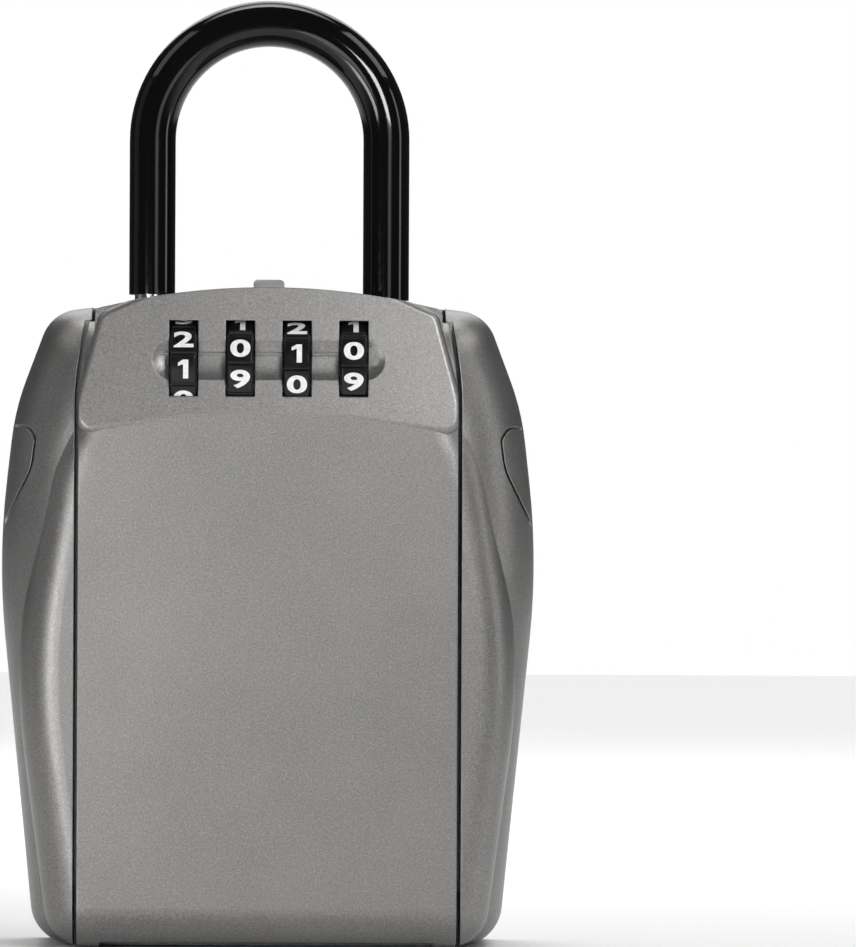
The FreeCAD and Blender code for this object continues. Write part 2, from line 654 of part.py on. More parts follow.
def door_front():
    """The cast door: skin, edges, ribs, the leaning dial panel and the hollow block behind it."""
    body = new_body("door_front")
    outer_form(body)
    cut(body, "base_lean", "x", -70, 70, outline(in_front_of_panel()))
    join(body, "panel_join", dial_panel())
    cut(body, "door_trim", "y", -40, 40, *whole_but(outline(door_outline())))
    cut(body, "door_back", "y", "door_edge_y", 40, rectangle(-60, 60, -5, "block_low"))
    cut(body, "lip_backs", "y", "door_edge_y", 40, rectangle(-60, "-block_half", 100, 150),
        rectangle("block_half", 60, 100, 150))
    cut(body, "upper_back", "y", "block_back_y", 40, rectangle(-60, 60, 100, 150))
    add(body, "block_fill", "y", -13.0, "block_back_y", outline(block_outline()))
    cut(body, "skin_back", "y", "skin_back_y", "seat_y", rectangle(-INNER_HALF, INNER_HALF, 8, "block_low"))
    cut(body, "curled_foot", "x", -INNER_HALF, INNER_HALF, disc(-12.0, 8.0, 5.0))
    cut(body, "foot_notch", "y", -16.2, -5, rectangle(-33.2, 33.2, -2, 9))
    for x in RIB_X:
        low = 12.0 if abs(x) < 20 else 26.0
        add(body, "rib_%s_%d" % ("left" if x < 0 else "right", abs(x)), "y", "skin_back_y - 0.5", RIB_BACK_Y,
            rectangle(x - 0.8, x + 0.8, low, "block_low + 0.5"))
    cross = rectangle(-INNER_HALF - 0.2, INNER_HALF + 0.2, 26.5, 28.1)
    add(body, "cross_rib", "y", "skin_back_y - 0.5", RIB_BACK_Y, cross)
    cut(body, "block_hollow", "y", -15.4, 40, outline(block_hollow(0.0)))
    cut(body, "cover_seat", "y", "block_back_y - 1.8", 40, outline(block_hollow(1.3)))
    add(body, "cover_posts", "y", -16.0, "block_back_y - 1.9", *post_discs(2.3))
    cut(body, "cover_threads", "y", -4.0, 40, *post_discs(1.0))
    cheeks = [rectangle(low, low + 2.2, "dial_z - 5", "dial_z + 6") for low in (-24.4, 22.2)]
    add(body, "axle_cheeks", "y", -16.0, -8.4, *cheeks)
    cut(body, "axle_seat", "x", -26, 26, disc("dial_y", "dial_z", "axle_radius"))
    dial_channel(body)
    for index, step in enumerate(DIAL_STEPS, start=1):
        low = "dial_pitch * %s - slot_width / 2" % step
        high = "dial_pitch * %s + slot_width / 2" % step
        cut(body, "dial_slot_%d" % index, "x", low, high, disc("dial_y", "dial_z", "slot_radius"))
        cut(body, "dial_window_%d" % index, "x", low, high, rectangle(-40, "dial_y", "dial_z", "window_high"))
    cut(body, "button_slot", "z", 126, 140, rectangle(-3.4, 3.4, -0.3, 1.9))
    cut(body, "bolt_holes", "y", 1.6, 3.85, rectangle(-40, 40, LATCH_LEVEL[0] - 0.3, LATCH_LEVEL[1] + 0.3))
    cut(body, "leaf_threads", "y", "skin_back_y - 2", "skin_back_y + 1", *leaf_discs(0.9))
    return body


def post_discs(radius):
    """The four screw posts of the lock block."""
    return [disc(sign * POST_X, level, radius) for sign in (-1, 1) for level in POST_LEVELS]


def leaf_discs(radius):
    """The four screws of the hinge leaves."""
    return [disc(sign * LEAF_SCREW_X, level, radius) for sign in (-1, 1) for level in LEAF_SCREWS]


def dial_channel(body):
    """The scooped channel across the dials, its index line and end mark."""
    surface = tilted_y(CHANNEL_Z)
    centre_y = surface - CHANNEL_RADIUS + CHANNEL_DEPTH
    cut(body, "channel", "x", -CHANNEL_HALF, CHANNEL_HALF, disc(centre_y, CHANNEL_Z, CHANNEL_RADIUS))
    for side in ("left", "right"):
        ball = body.newObject("PartDesign::SubtractiveSphere", "channel_end_" + side)
        ball.Radius = CHANNEL_RADIUS
        middle = V(SIGN[side] * CHANNEL_HALF, centre_y, CHANNEL_Z)
        ball.Placement = FreeCAD.Placement(middle, FreeCAD.Rotation())
        doc.recompute()
    line = rectangle(-INDEX_HALF, INDEX_HALF, INDEX_LOW, INDEX_LOW + INDEX_WIDTH)
    add(body, "index_line", "y", surface + INDEX_SUNK, surface + 2.5, line)
    mark = [(19.0, 115.6, 0.6), (22.0, 115.6, 1.2), (22.3, 119.0, 1.6), (19.2, 119.2, 0.8)]
    add(body, "index_mark", "y", surface + INDEX_SUNK, surface + 2.5, outline(mark))


def lock_cover():
    """The plate that closes the back of the lock block, with a window for the code-change slider."""
    body = new_body("lock_cover")
    shape = mirrored([(32.7, 105.6, 1.6), (32.7, 123.1, 3.0), (22.2, 128.3, 2.0)])
    add(body, "cover_pad", "y", "block_back_y - 1.8", "block_back_y", outline(shape))
    cut(body, "cover_holes", "y", 0, 10, *post_discs(1.25))
    cut(body, "cover_sinks", "y", "block_back_y - 1.0", 10, *post_discs(2.05))
    cut(body, "slider_window", "y", 0, 10, rectangle(-6.0, 4.0, 118.6, 123.0))
    return body


def cover_screws():
    """The four screws of the lock cover."""
    body = new_body("cover_screws")
    add(body, "cover_shanks", "y", -3.5, "block_back_y - 1.0", *post_discs(1.0))
    add(body, "cover_heads", "y", "block_back_y - 1.0", "block_back_y - 0.1", *post_discs(2.0))
    cut(body, "cover_sockets", "y", "block_back_y - 0.7", 10, *post_discs(0.8))
    return body


def dial_axle():
    """The fixed axle that the dials turn on."""
    body = new_body("dial_axle")
    axle = add(body, "axle_pad", "x", -26.6, 26.6, disc("dial_y", "dial_z", "axle_radius"))
    chamfer(body, "axle_ends", axle, 0.3, lambda middle, box: box.XLength < 0.1)
    for side, low in CLIP_STARTS.items():
        ring = [disc("dial_y", "dial_z", 4.0), disc("dial_y", "dial_z", 1.5)]
        cut(body, "clip_groove_" + side, "x", low - 0.1, low + 0.7, *ring)
    return body


def axle_clips():
    """The two clips at the axle's ends."""
    body = new_body("axle_clips")
    for side, low in CLIP_STARTS.items():
        ring = [disc("dial_y", "dial_z", 3.4), disc("dial_y", "dial_z", 1.5)]
        add(body, "clip_" + side, "x", low, low + 0.6, *ring)
    cut(body, "clip_mouths", "x", -30, 30, rectangle("dial_y", "dial_y + 6", "dial_z - 1.1", "dial_z + 1.1"))
    return body


def dial_spacers():
    """Short tubes on the axle that keep the dials apart."""
    body = new_body("dial_spacers")
    for index in range(-1, 2):
        ring = [disc("dial_y", "dial_z", 3.3), disc("dial_y", "dial_z", "axle_radius")]
        add(body, "spacer_%d" % (index + 2), "x", "dial_pitch * %d - 1.55" % index,
            "dial_pitch * %d + 1.55" % index, *ring)
    return body


def dial_wheel(index, step):
    """One numbered dial: a ring with ten shallow grooves between its numbers."""
    body = new_body("dial_wheel_%d" % index)
    name = body.Name
    low = "dial_pitch * %s - dial_width / 2" % step
    high = "dial_pitch * %s + dial_width / 2" % step
    rim = add(body, name + "_rim", "x", low, high, disc("dial_y", "dial_z", "dial_radius"),
              disc("dial_y", "dial_z", 6.0))
    outer = size("dial_radius")
    bevelled = chamfer(body, name + "_bevel", rim, 0.45,
                       lambda middle, box: box.XLength < 0.1 and box.ZLength > outer * 1.9)
    reach = outer + 0.12
    turn = math.radians(DIAL_TURNS[index - 1] + 18)
    bead = disc("dial_y - %s" % (reach * math.cos(turn)), "dial_z + (%s)" % (reach * math.sin(turn)), 0.42)
    groove = cut(body, name + "_groove", "x", low, high, bead)
    pattern = body.newObject("PartDesign::PolarPattern", name + "_grooves")
    pattern.Originals = [groove]
    axis_sketch = new_sketch(body, name + "_axis", "x", low)
    axis_sketch.addGeometry(Part.Point(V(size("dial_y"), size("dial_z"), 0)), True)
    axis_sketch.AttachmentOffset = FreeCAD.Placement(V(size("dial_y"), size("dial_z"), 0), FreeCAD.Rotation())
    pattern.Axis = (axis_sketch, ["N_Axis"])
    pattern.Angle = 360
    pattern.Occurrences = 10
    body.Tip = pattern
    doc.recompute()
    return body


def code_sleeve(index, step):
    """The sleeve inside a dial that carries its code flat; it turns with the dial."""
    body = new_body("code_sleeve_%d" % index)
    name = body.Name
    add(body, name + "_hub", "x", "dial_pitch * %s - 3.7" % step, "dial_pitch * %s + 3.7" % step,
        disc("dial_y", "dial_z", 3.3), disc("dial_y", "dial_z", "axle_bore"))
    add(body, name + "_web", "x", "dial_pitch * %s - 2.4" % step, "dial_pitch * %s + 2.4" % step,
        disc("dial_y", "dial_z", 5.98), disc("dial_y", "dial_z", 3.0))
    cut(body, name + "_flat", "x", "dial_pitch * %s + 2.5" % step, "dial_pitch * %s + 5" % step,
        rectangle("dial_y + 2.7", "dial_y + 6", "dial_z - 6", "dial_z + 6"))
    return body


def detent_spring():
    """The comb of four leaves behind the dials that clicks at each number."""
    body = new_body("detent_spring")
    comb = [(-20.5, 106.3, 0.5), (20.5, 106.3, 0.5), (20.5, 111.5, 0.0), (-20.5, 111.5, 0.0)]
    add(body, "comb_root", "y", COMB_FRONT_Y, COMB_BACK_Y, outline(comb))
    leaves = [rectangle("dial_pitch * %s - 2" % step, "dial_pitch * %s + 2" % step, 111, 121.5)
              for step in DIAL_STEPS]
    add(body, "comb_leaves", "y", COMB_FRONT_Y, COMB_BACK_Y, *leaves)
    return body


def latch_plate():
    """The sliding plate behind the dials: its tab is the release button, its slots draw the bolts in."""
    body = new_body("latch_plate")
    shape = mirrored([(25.8, 110.6, 1.0), (25.8, 123.0, 2.0), (19.0, 125.3, 2.0)])
    add(body, "latch_pad", "y", 0.0, 1.6, outline(shape))
    tab = [(-3.1, 120.0, 0.0), (3.1, 120.0, 0.0), (3.1, 133.0, 0.9), (-3.1, 133.0, 0.9)]
    add(body, "button_tab", "y", 0.0, 1.6, outline(tab))
    for side, sign in SIGN.items():
        cut(body, "bolt_slot_" + side, "y", -1, 3, outline(slanted_slot(sign)))
    return body


def slanted_slot(sign):
    """The 45 degree slot in which a bolt's pin climbs inwards as the plate goes down."""
    run = size("button_travel")
    inward = V(-sign, 1, 0).normalize()
    across = V(inward.y, -inward.x, 0)
    start = V(sign * SLOT_X, LATCH_MIDDLE, 0) - inward * (SLOT_HALF + 0.3)
    end = V(sign * (SLOT_X - run), LATCH_MIDDLE + run, 0) + inward * (SLOT_HALF + 0.3)
    corners = [start + across * SLOT_HALF, end + across * SLOT_HALF, end - across * SLOT_HALF,
               start - across * SLOT_HALF]
    return [(point.x, point.y, 1.2) for point in corners]


def latch_bolt(side):
    """A side bolt that holds the door, with the pin that follows the plate's slanted slot."""
    body = new_body("latch_bolt_" + side)
    outer = size("block_recess_half") + 1.7
    low, high = sorted((SIGN[side] * 15.0, SIGN[side] * outer))
    add(body, body.Name + "_bar", "y", 1.9, 3.5, rectangle(low, high, *LATCH_LEVEL))
    add(body, body.Name + "_pin", "y", 0.1, 2.2, disc(SIGN[side] * SLOT_X, LATCH_MIDDLE, PIN_RADIUS))
    return body


def latch_springs():
    """The two springs that lift the latch plate."""
    springs = doc.addObject("Part::Feature", "latch_springs")
    springs.Label = "latch_springs"
    coils = [coil_spring(V(x, 0.8, 106.3), V(x, 0.8, 110.6), 1.15, 0.22, 4, V(0, 0, 1)) for x in (-12.0, 12.0)]
    springs.Shape = Part.makeCompound(coils)
    return springs


def code_slider():
    """The small slider in the cover's window that frees the dials from their sleeves to set a new code."""
    body = new_body("code_slider")
    add(body, "slider_knob", "y", 3.7, "block_back_y - 0.1", rectangle(-5.6, -1.2, 119.0, 122.6))
    add(body, "slider_foot", "y", 2.7, 3.7, rectangle(-8.0, 1.2, 118.0, 123.4))
    grips = [rectangle(x - 0.3, x + 0.3, 119.6, 122.0) for x in (-4.6, -3.4, -2.2)]
    cut(body, "slider_grips", "y", "block_back_y - 0.5", 10, *grips)
    return body


def hinge_leaf(side):
    """A bright leaf with its knuckle, screwed to the inside of the door."""
    body = new_body("hinge_leaf_" + side)
    low, high = sorted((SIGN[side] * 19.9, SIGN[side] * 32.2))
    plate = rectangle(low, high, 8.6, 24.6)
    add(body, body.Name + "_plate", "y", "skin_back_y", "skin_back_y + 1.5", plate)
    axis = size("hinge_y")
    skin = size("skin_back_y")
    knuckle = [(axis - 3.1, 3.2, 1.2), (axis + 2.6, 2.4, 2.4), (axis + 2.6, 7.8, 2.4), (skin + 1.4, 12.0, 0.6),
               (skin + 0.05, 12.0, 0.0), (skin + 0.4, 7.0, 1.0)]
    add(body, body.Name + "_knuckle", "x", low, high, outline(knuckle))
    cut(body, body.Name + "_bore", "x", -40, 40, disc("hinge_y", "hinge_z", "knuckle_bore"))
    holes = [disc(SIGN[side] * LEAF_SCREW_X, level, 1.0) for level in LEAF_SCREWS]
    cut(body, body.Name + "_holes", "y", -20, -10, *holes)
    return body


def leaf_screws():
    """The four screws that hold the hinge leaves."""
    body = new_body("leaf_screws")
    add(body, "leaf_shanks", "y", "skin_back_y - 1.9", "skin_back_y + 1.6", *leaf_discs(0.9))
    add(body, "leaf_heads", "y", "skin_back_y + 1.5", "skin_back_y + 2.6", *leaf_discs(1.9))
    cut(body, "leaf_sockets", "y", "skin_back_y + 2.0", -10, *leaf_discs(0.75))
    return body


# ---------------------------------------------------------------- build, check and write
def build():
    """Every sub-part in order."""
    parts = [housing_shell(), side_insert("left"), side_insert("right"), header_plate(), header_rivets(),
             shackle_block(), shackle_slide(), release_pin(), slide_spring(), hinge_block(), hinge_screws(),
             hinge_pin(), door_spring(), shackle_bar(), shackle_sleeve(), shackle_ring(), door_front(),
             lock_cover(), cover_screws(), dial_axle(), axle_clips(), dial_spacers()]
    for index, step in enumerate(DIAL_STEPS, start=1):
        parts += [dial_wheel(index, step), code_sleeve(index, step)]
    parts += [detent_spring(), latch_plate(), latch_bolt("left"), latch_bolt("right"), latch_springs(),
              code_slider(), hinge_leaf("left"), hinge_leaf("right"), leaf_screws()]
    return parts


def check(parts):
    """Stops before anything is written if an object failed or a shape isn't a valid solid."""
    doc.recompute()
    for item in doc.Objects:
        for fault in ("Invalid", "Error"):
            if fault in item.State:
                raise RuntimeError("%s is %s" % (item.Name, fault))
    for part in parts:
        if part.Shape.isNull() or not part.Shape.isValid() or not part.Shape.Solids:
            raise RuntimeError("%s has no valid solid" % part.Label)


def write(parts):
    """One STEP file for each sub-part, named after it."""
    os.makedirs("parts", exist_ok=True)
    for part in parts:
        part.Shape.exportStep("parts/%s.step" % part.Label)


PARTS = build()
check(PARTS)
write(PARTS)
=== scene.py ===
"""Looks of the four-dial key lock box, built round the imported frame. Metres, the frame's own axes."""

import json
import math

import bmesh
import bpy
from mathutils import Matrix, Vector


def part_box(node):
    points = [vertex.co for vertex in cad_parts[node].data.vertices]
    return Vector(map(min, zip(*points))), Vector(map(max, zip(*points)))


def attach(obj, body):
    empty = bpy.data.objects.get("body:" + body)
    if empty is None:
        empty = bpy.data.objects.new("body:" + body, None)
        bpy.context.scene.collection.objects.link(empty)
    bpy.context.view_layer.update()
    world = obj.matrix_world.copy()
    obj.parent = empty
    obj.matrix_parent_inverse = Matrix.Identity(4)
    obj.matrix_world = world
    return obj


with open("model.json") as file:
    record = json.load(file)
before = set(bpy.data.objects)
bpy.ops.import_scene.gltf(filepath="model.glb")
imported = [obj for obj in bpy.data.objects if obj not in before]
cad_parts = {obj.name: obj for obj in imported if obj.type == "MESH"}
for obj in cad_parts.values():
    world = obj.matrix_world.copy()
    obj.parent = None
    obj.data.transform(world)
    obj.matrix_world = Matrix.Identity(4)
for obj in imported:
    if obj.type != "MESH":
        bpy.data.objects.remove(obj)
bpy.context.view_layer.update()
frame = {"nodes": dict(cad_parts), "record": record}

MM = 0.001


# ---------------------------------------------------------------- node helpers
class Nodes:
    """Builds one procedural material. Every texture reads object coordinates in metres."""

    def __init__(self, name):
        self.material = bpy.data.materials.new(name)
        self.material.use_nodes = True
        self.tree = self.material.node_tree
        self.tree.nodes.clear()
        self.output = self.add("ShaderNodeOutputMaterial")
        self.shader = self.add("ShaderNodeBsdfPrincipled")
        self.link(self.shader.outputs["BSDF"], self.output.inputs["Surface"])
        self.place = self.add("ShaderNodeTexCoord").outputs["Object"]

    def add(self, kind, **values):
        node = self.tree.nodes.new(kind)
        for key, value in values.items():
            setattr(node, key, value)
        return node

    def link(self, source, target):
        self.tree.links.new(source, target)

    def plug(self, socket, value):
        """Sets a socket, or links it if the value is another socket."""
        if isinstance(value, bpy.types.NodeSocket):
            self.link(value, socket)
        else:
            socket.default_value = value

    def noise(self, scale, detail=2.0, roughness=0.5, stretch=(1.0, 1.0, 1.0)):
        mapping = self.add("ShaderNodeMapping")
        mapping.inputs["Scale"].default_value = stretch
        self.link(self.place, mapping.inputs["Vector"])
        texture = self.add("ShaderNodeTexNoise")
        self.link(mapping.outputs["Vector"], texture.inputs["Vector"])
        texture.inputs["Scale"].default_value = scale
        texture.inputs["Detail"].default_value = detail
        texture.inputs["Roughness"].default_value = roughness
        return texture.outputs["Fac"]

    def cells(self, scale):
        texture = self.add("ShaderNodeTexVoronoi")
        self.link(self.place, texture.inputs["Vector"])
        texture.inputs["Scale"].default_value = scale
        return texture.outputs["Color"]

    def spread(self, value, low, high, to_low, to_high):
        """Maps a range of a value to another, clamped."""
        node = self.add("ShaderNodeMapRange")
        self.link(value, node.inputs["Value"])
        for socket, number in (("From Min", low), ("From Max", high), ("To Min", to_low), ("To Max", to_high)):
            node.inputs[socket].default_value = number
        return node.outputs["Result"]

    def maths(self, operation, first, second):
        node = self.add("ShaderNodeMath", operation=operation)
        self.plug(node.inputs[0], first)
        self.plug(node.inputs[1], second)
        return node.outputs["Value"]

    def mix(self, factor, first, second):
        node = self.add("ShaderNodeMix", data_type="RGBA")
        self.plug(node.inputs["Factor"], factor)
        self.plug(node.inputs["A"], first)
        self.plug(node.inputs["B"], second)
        return node.outputs["Result"]

    def edge_wear(self, radius):
        """Near 1 on sharp edges, 0 on flat ground."""
        bevel = self.add("ShaderNodeBevel", samples=4)
        bevel.inputs["Radius"].default_value = radius
        geometry = self.add("ShaderNodeNewGeometry")
        dot = self.add("ShaderNodeVectorMath", operation="DOT_PRODUCT")
        self.link(bevel.outputs["Normal"], dot.inputs[0])
        self.link(geometry.outputs["Normal"], dot.inputs[1])
        return self.spread(dot.outputs["Value"], 0.995, 0.9, 0.0, 1.0)

    def relief(self, height, distance, strength=1.0, soft_edge=0.0):
        """Bump from a height in 0..1, over edges rounded by soft_edge."""
        bump = self.add("ShaderNodeBump")
        bump.inputs["Strength"].default_value = strength
        bump.inputs["Distance"].default_value = distance
        self.link(height, bump.inputs["Height"])
        if soft_edge:
            bevel = self.add("ShaderNodeBevel", samples=6)
            bevel.inputs["Radius"].default_value = soft_edge
            self.link(bevel.outputs["Normal"], bump.inputs["Normal"])
        self.link(bump.outputs["Normal"], self.shader.inputs["Normal"])

    def surface(self, **sockets):
        """Sets the shader's sockets by name, with _ for a space."""
        names = {"base": "Base Color", "rough": "Roughness", "metal": "Metallic", "specular": "Specular IOR Level"}
        for key, value in sockets.items():
            self.plug(self.shader.inputs[names[key]], value)


def grey(value, warm=0.0):
    """A grey, made a little warmer by a share."""
    return (value * (1 + warm), value, value * (1 - warm), 1.0)


# ---------------------------------------------------------------- materials
METAL_IN_PAINT = 0.8


def metallic_paint(name, dark, light, grain, rough):
    """Grey metal-flake paint on a casting: fine grain, faint flake and clouding, paler worn edges."""
    m = Nodes(name)
    flake = m.add("ShaderNodeSeparateColor")
    m.link(m.cells(7600.0), flake.inputs["Color"])
    speck = m.noise(2800.0, 3.0, 0.7)
    cloud = m.noise(30.0, 3.0, 0.55)
    tone = m.maths("ADD", m.maths("MULTIPLY", m.spread(speck, 0.3, 0.7, 0.0, 1.0), 0.85),
                   m.maths("MULTIPLY", m.spread(cloud, 0.35, 0.65, 0.0, 1.0), 0.15))
    base = m.mix(tone, grey(dark, 0.02), grey(light, 0.02))
    sparkle = m.spread(flake.outputs["Red"], 0.85, 1.0, 0.0, 0.35)
    base = m.mix(sparkle, base, grey(min(1.0, light * 1.8)))
    base = m.mix(m.maths("MULTIPLY", m.edge_wear(0.25 * MM), 0.3), base, grey(min(1.0, light * 1.4)))
    m.surface(base=base, metal=METAL_IN_PAINT, rough=m.spread(speck, 0.25, 0.75, rough - 0.04, rough + 0.05),
              specular=0.5)
    height = m.maths("ADD", speck, m.maths("MULTIPLY", flake.outputs["Green"], 0.3))
    m.relief(height, grain * MM, 0.6, 0.3 * MM)
    return m.material


def cast_metal(name, tone):
    """Dark plain casting with a coarser skin."""
    m = Nodes(name)
    skin = m.noise(900.0, 4.0, 0.6)
    base = m.mix(m.spread(skin, 0.3, 0.7, 0.0, 1.0), grey(tone * 0.8), grey(tone * 1.25))
    m.surface(base=base, metal=0.7, rough=m.spread(skin, 0.3, 0.7, 0.42, 0.56))
    m.relief(skin, 0.04 * MM, 0.5, 0.2 * MM)
    return m.material


def steel(name, tone, rough, stretch, scratch=0.12):
    """Drawn or stamped steel with fine marks along one way."""
    m = Nodes(name)
    marks = m.noise(1500.0, 4.0, 0.65, stretch)
    haze = m.noise(120.0, 2.0, 0.5)
    base = m.mix(m.spread(haze, 0.3, 0.7, 0.0, 1.0), grey(tone * 0.86), grey(min(1.0, tone * 1.06)))
    smoothest = max(0.04, rough - scratch / 2)
    m.surface(base=base, metal=1.0, rough=m.spread(marks, 0.2, 0.8, smoothest, rough + scratch))
    m.relief(marks, 0.008 * MM, 0.5, 0.12 * MM)
    return m.material


def vinyl(name):
    """Glossy black vinyl with faint waves from dipping."""
    m = Nodes(name)
    waves = m.noise(90.0, 2.0, 0.5, (1.0, 1.0, 0.4))
    fine = m.noise(1400.0, 2.0, 0.5)
    m.surface(base=m.mix(waves, grey(0.0015), grey(0.004)),
              rough=m.spread(fine, 0.3, 0.7, 0.06, 0.10), specular=0.42)
    m.relief(m.maths("ADD", waves, m.maths("MULTIPLY", fine, 0.03)), 0.12 * MM, 0.3, 0.3 * MM)
    return m.material


def dial_plastic(name):
    """Glossy black moulded dial."""
    m = Nodes(name)
    fine = m.noise(700.0, 3.0, 0.6)
    m.surface(base=m.mix(fine, grey(0.004), grey(0.010)),
              rough=m.spread(fine, 0.3, 0.7, 0.16, 0.24), specular=0.4)
    m.relief(fine, 0.01 * MM, 0.5, 0.15 * MM)
    return m.material


def number_white(name):
    """White paint of the numbers, slightly uneven."""
    m = Nodes(name)
    wear = m.noise(1300.0, 3.0, 0.6)
    m.surface(base=m.mix(m.spread(wear, 0.3, 0.7, 0.0, 1.0), grey(0.72), grey(0.9)),
              rough=m.spread(wear, 0.3, 0.7, 0.35, 0.5))
    m.relief(wear, 0.01 * MM, 0.5)
    return m.material


def brass(name):
    """Turned brass, dull and dark with age."""
    m = Nodes(name)
    marks = m.noise(1200.0, 3.0, 0.6, (12.0, 1.0, 1.0))
    m.surface(base=m.mix(marks, (0.16, 0.11, 0.05, 1.0), (0.30, 0.22, 0.11, 1.0)), metal=1.0,
              rough=m.spread(marks, 0.3, 0.7, 0.22, 0.36))
    m.relief(marks, 0.01 * MM, 0.4, 0.1 * MM)
    return m.material


def floor_paint(name):
    """Matt white floor with a very faint mottle."""
    m = Nodes(name)
    mottle = m.noise(6.0, 2.0, 0.5)
    m.surface(base=m.mix(mottle, grey(0.93), grey(0.95)),
              rough=m.spread(mottle, 0.3, 0.7, 0.75, 0.85), specular=0.1)
    return m.material


MATERIALS = {
    "grey_paint": metallic_paint("paint_grey", 0.165, 0.315, 0.045, 0.37),
    "dark_casting": cast_metal("casting_dark", 0.11),
    "leaf_metal": metallic_paint("paint_leaf", 0.40, 0.54, 0.02, 0.38),
    "shackle_steel": steel("steel_bright", 0.72, 0.14, (1.0, 1.0, 0.05)),
    "inner_metal": steel("steel_stamped", 0.50, 0.30, (0.1, 1.0, 1.0), 0.16),
    "screw_steel": steel("steel_screw", 0.55, 0.26, (1.0, 1.0, 1.0)),
    "spring_wire": steel("steel_wire", 0.60, 0.20, (0.2, 1.0, 1.0)),
    "black_vinyl": vinyl("vinyl_black"),
    "dial_black": dial_plastic("plastic_dial"),
    "brass_sleeve": brass("brass_turned"),
}
SLOTS = {part["node"]: part["material_slot"] for part in frame["record"]["subparts"]}
for node, cad_object in frame["nodes"].items():
    finish = MATERIALS[SLOTS[node]]
    if not cad_object.material_slots:
        cad_object.data.materials.append(finish)
    for place in cad_object.material_slots:
        place.material = finish


# ---------------------------------------------------------------- numbers on the dials
NUMBER_STEP = 36.0                      # degrees between numbers
NUMBER_AT_FRONT = ((1, -2.4), (0, 22.3), (1, 16.2), (0, 19.6))   # per dial: a number, degrees above level
NUMBER_HEIGHT = 3.75 * MM
NUMBER_WIDTH = 4.0 * MM                 # of a zero; the others keep their share of it
NUMBER_PROUD = 0.06 * MM
NUMBER_SUNK = 0.4 * MM                  # depth of a number's foot inside the dial
NUMBER_CUTS = 7                         # bands that let a flat number bend round the dial
ONE_FLAG = ((-0.27, 0.16), (-0.02, 0.26), (-0.02, 0.50), (-0.27, 0.34))
ONE_STEM = ((-0.02, -0.50), (0.24, -0.50), (0.24, 0.50), (-0.02, 0.50), (-0.02, 0.26))


def one_mesh():
    """The one, a broad stem with a flag, one unit high; widths are shares of a zero's."""
    form = bmesh.new()
    for outline in (ONE_FLAG, ONE_STEM):
        form.faces.new([form.verts.new((x, y, 0.0)) for x, y in outline])
    bmesh.ops.remove_doubles(form, verts=form.verts[:], dist=0.001)
    return form


def number_mesh(digit):
    """A number of the built-in letters as a flat mesh."""
    curve = bpy.data.curves.new("number_curve", "FONT")
    curve.body = str(digit)
    curve.offset = 0.03
    curve.resolution_u = 6
    holder = bpy.data.objects.new("number_holder", curve)
    bpy.context.scene.collection.objects.link(holder)
    graph = bpy.context.evaluated_depsgraph_get()
    mesh = bpy.data.meshes.new_from_object(holder.evaluated_get(graph))
    bpy.data.objects.remove(holder)
    bpy.data.curves.remove(curve)
    return mesh


def reach_of(mesh):
    """Low corner and size of a flat mesh."""
    corners = [vertex.co for vertex in mesh.vertices]
    low = Vector((min(c.x for c in corners), min(c.y for c in corners)))
    high = Vector((max(c.x for c in corners), max(c.y for c in corners)))
    return low, high - low


ZERO_WIDTH = reach_of(number_mesh(0))[1].x


def letter_mesh(digit):
    """A number of the built-in letters, centred, one unit high and as wide as its share of a zero."""
    mesh = number_mesh(digit)
    low, span = reach_of(mesh)
    for vertex in mesh.vertices:
        vertex.co.x = (vertex.co.x - low.x - span.x / 2) / ZERO_WIDTH
        vertex.co.y = (vertex.co.y - low.y) / span.y - 0.5
    form = bmesh.new()
    form.from_mesh(mesh)
    bpy.data.meshes.remove(mesh)
    return form


def flat_number(digit):
    """A number as a flat mesh, cut into bands so that it bends smoothly round the dial."""
    form = one_mesh() if digit == 1 else letter_mesh(digit)
    for cut in range(1, NUMBER_CUTS):
        everything = form.verts[:] + form.edges[:] + form.faces[:]
        level = cut / NUMBER_CUTS - 0.5
        bmesh.ops.bisect_plane(form, geom=everything, plane_co=(0, level, 0), plane_no=(0, 1, 0))
    return form


def dial_numbers(index, first, angle):
    """All ten numbers of a dial as one raised mesh that turns with it."""
    low, high = (Vector(corner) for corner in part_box("dial_wheel_%d" % index))
    centre = (low + high) / 2
    radius = (high.z - low.z) / 2
    whole = bmesh.new()
    for digit in range(10):
        form = flat_number(digit)
        form.verts.index_update()
        turn = math.radians(angle + NUMBER_STEP * (digit - first))
        ring = {}
        for level in (-NUMBER_SUNK, NUMBER_PROUD):
            for vertex in form.verts:
                reach = radius + level
                around = turn + vertex.co.y * NUMBER_HEIGHT / radius
                place = Vector((centre.x + vertex.co.x * NUMBER_WIDTH, centre.y - reach * math.cos(around),
                                centre.z + reach * math.sin(around)))
                ring[vertex.index, level > 0] = whole.verts.new(place)
        for face in form.faces:
            whole.faces.new([ring[v.index, True] for v in face.verts])
            whole.faces.new([ring[v.index, False] for v in reversed(face.verts)])
        for edge in form.edges:
            if len(edge.link_faces) == 1:
                a, b = (v.index for v in edge.verts)
                whole.faces.new([ring[a, True], ring[b, True], ring[b, False], ring[a, False]])
        form.free()
    bmesh.ops.recalc_face_normals(whole, faces=whole.faces[:])
    mesh = bpy.data.meshes.new("numbers_dial_%d" % index)
    whole.to_mesh(mesh)
    whole.free()
    piece = bpy.data.objects.new("numbers_dial_%d" % index, mesh)
    bpy.context.scene.collection.objects.link(piece)
    mesh.materials.append(NUMBER_PAINT)
    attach(piece, "dial_%d" % index)


NUMBER_PAINT = number_white("paint_number")
for position, (first_number, first_angle) in enumerate(NUMBER_AT_FRONT, start=1):
    dial_numbers(position, first_number, first_angle)


